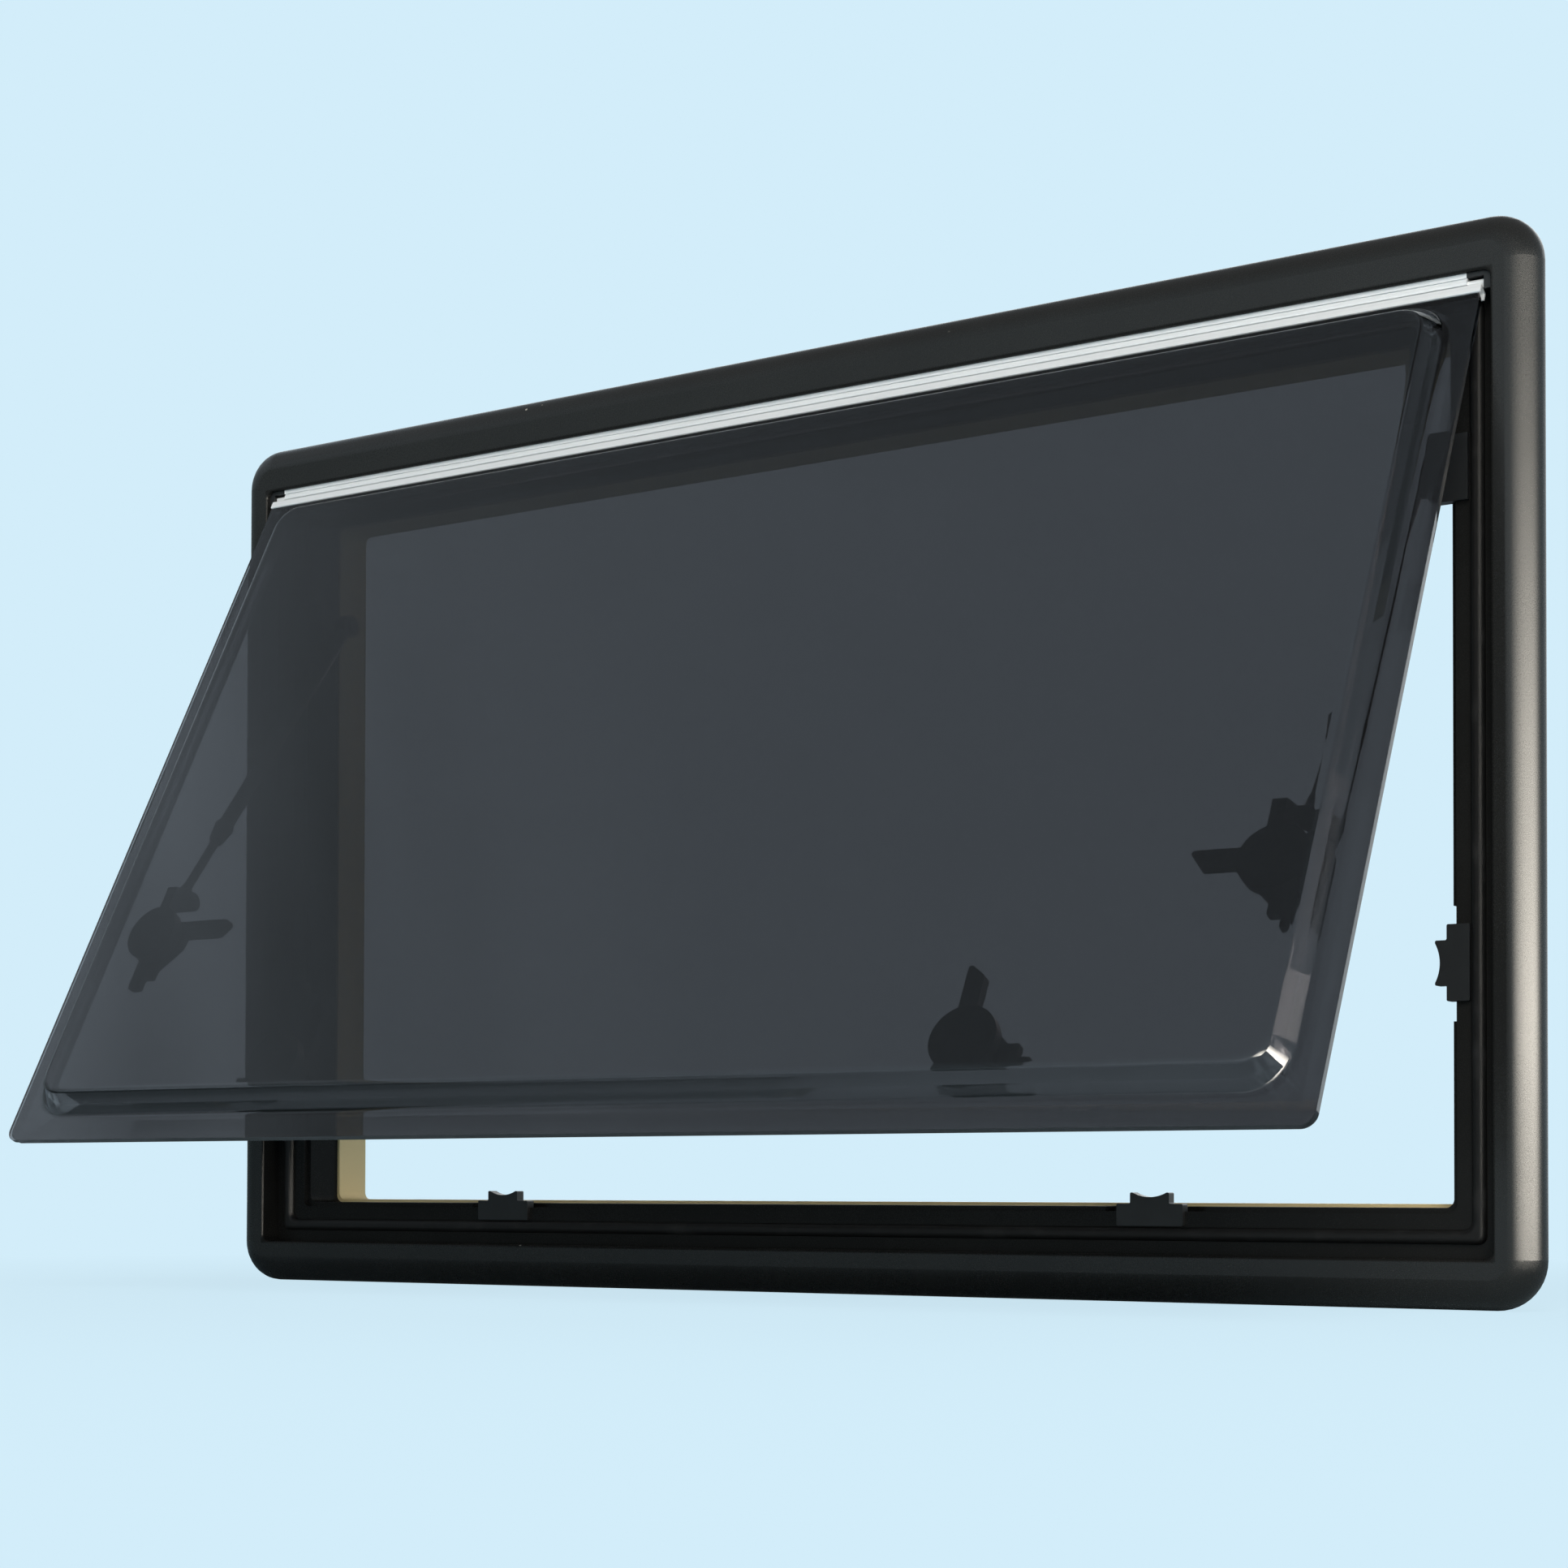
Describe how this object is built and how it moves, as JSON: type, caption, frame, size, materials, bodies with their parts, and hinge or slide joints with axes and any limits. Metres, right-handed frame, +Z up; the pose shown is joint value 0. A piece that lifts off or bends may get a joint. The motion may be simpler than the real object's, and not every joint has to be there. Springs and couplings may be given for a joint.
{
  "type": "caravan window",
  "caption": "Top-hung caravan window with a black moulded frame, tinted domed double panes on an aluminium hinge strip, turning latches and telescopic stays.",
  "frame": {"origin": "on the back face of the outer flange, in the middle of its bottom strip", "axes": "+X along the window, +Y into the caravan, +Z up"},
  "size_m": [0.95, 0.3171, 0.6],
  "materials": {
    "frame_black": "moulded, slightly glossy black",
    "seal_rubber": "soft black bulb seal",
    "frame_cream": "satin cream",
    "hinge_aluminium": "silver anodised",
    "tinted_acrylic": "clear grey tint, polished",
    "hardware_black": "satin black moulding",
    "stay_metal": "black anodised"
  },
  "bodies": {
    "frame": {"outer_frame": "frame_black", "frame_seal": "seal_rubber", "inner_frame": "frame_cream", "hinge_rail": "hinge_aluminium", "rail_end_left": "hardware_black", "rail_end_right": "hardware_black", "keeper_left": "hardware_black", "keeper_right": "hardware_black", "keeper_bottom_left": "hardware_black", "keeper_bottom_right": "hardware_black", "stay_bracket_left": "hardware_black", "stay_bracket_right": "hardware_black"},
    "sash": {"sash_hinge_strip": "hinge_aluminium", "outer_pane": "tinted_acrylic", "inner_pane": "tinted_acrylic", "latch_base_left": "hardware_black", "latch_base_right": "hardware_black", "latch_base_bottom_left": "hardware_black", "latch_base_bottom_right": "hardware_black"},
    "latch_left": {"latch_handle_left": "hardware_black"},
    "latch_right": {"latch_handle_right": "hardware_black"},
    "latch_bottom_left": {"latch_handle_bottom_left": "hardware_black"},
    "latch_bottom_right": {"latch_handle_bottom_right": "hardware_black"},
    "stay_tube_left": {"stay_tube_left": "stay_metal", "stay_collar_left": "hardware_black"},
    "stay_rod_left": {"stay_rod_left": "stay_metal", "stay_eye_left": "hardware_black"},
    "stay_tube_right": {"stay_tube_right": "stay_metal", "stay_collar_right": "hardware_black"},
    "stay_rod_right": {"stay_rod_right": "stay_metal", "stay_eye_right": "hardware_black"}
  },
  "joints": [
    {"name": "sash_hinge", "type": "hinge", "parent": "frame", "child": "sash", "pos_m": [0, -0.011, 0.549], "axis": [-1, 0, 0], "range_deg": [-27.7, 17.3]},
    {"name": "latch_turn_left", "type": "hinge", "parent": "sash", "child": "latch_left", "pos_m": [-0.393, -0.1808, 0.21912], "axis": [0, -0.8854, 0.4648], "range_deg": [-90, 0]},
    {"name": "latch_turn_right", "type": "hinge", "parent": "sash", "child": "latch_right", "pos_m": [0.393, -0.1808, 0.21912], "axis": [0, 0.8854, -0.4648], "range_deg": [-90, 0]},
    {"name": "latch_turn_bottom_left", "type": "hinge", "parent": "sash", "child": "latch_bottom_left", "pos_m": [-0.241, -0.22775, 0.1297], "axis": [0, 0.8854, -0.4648], "range_deg": [-90, 0]},
    {"name": "latch_turn_bottom_right", "type": "hinge", "parent": "sash", "child": "latch_bottom_right", "pos_m": [0.241, -0.22775, 0.1297], "axis": [0, -0.8854, 0.4648], "range_deg": [-90, 0]},
    {"name": "stay_swing_left", "type": "hinge", "parent": "frame", "child": "stay_tube_left", "pos_m": [-0.4, 0.015, 0.455], "axis": [-1, 0, 0], "range_deg": [-35.1, 22]},
    {"name": "stay_slide_left", "type": "slide", "parent": "stay_tube_left", "child": "stay_rod_left", "axis": [0, -0.6111, -0.7916], "range_m": [-0.03318, 0.02083]},
    {"name": "stay_swing_right", "type": "hinge", "parent": "frame", "child": "stay_tube_right", "pos_m": [0.4, 0.015, 0.455], "axis": [-1, 0, 0], "range_deg": [-35.1, 22]},
    {"name": "stay_slide_right", "type": "slide", "parent": "stay_tube_right", "child": "stay_rod_right", "axis": [0, -0.6111, -0.7916], "range_m": [-0.03318, 0.02083]}
  ],
  "couplings": [
    {"joint": "stay_swing_left", "follows": "sash_hinge", "ratio": 1.26},
    {"joint": "stay_slide_left", "follows": "sash_hinge", "m_per_rad": 0.068},
    {"joint": "stay_swing_right", "follows": "sash_hinge", "ratio": 1.26},
    {"joint": "stay_slide_right", "follows": "sash_hinge", "m_per_rad": 0.068}
  ]
}
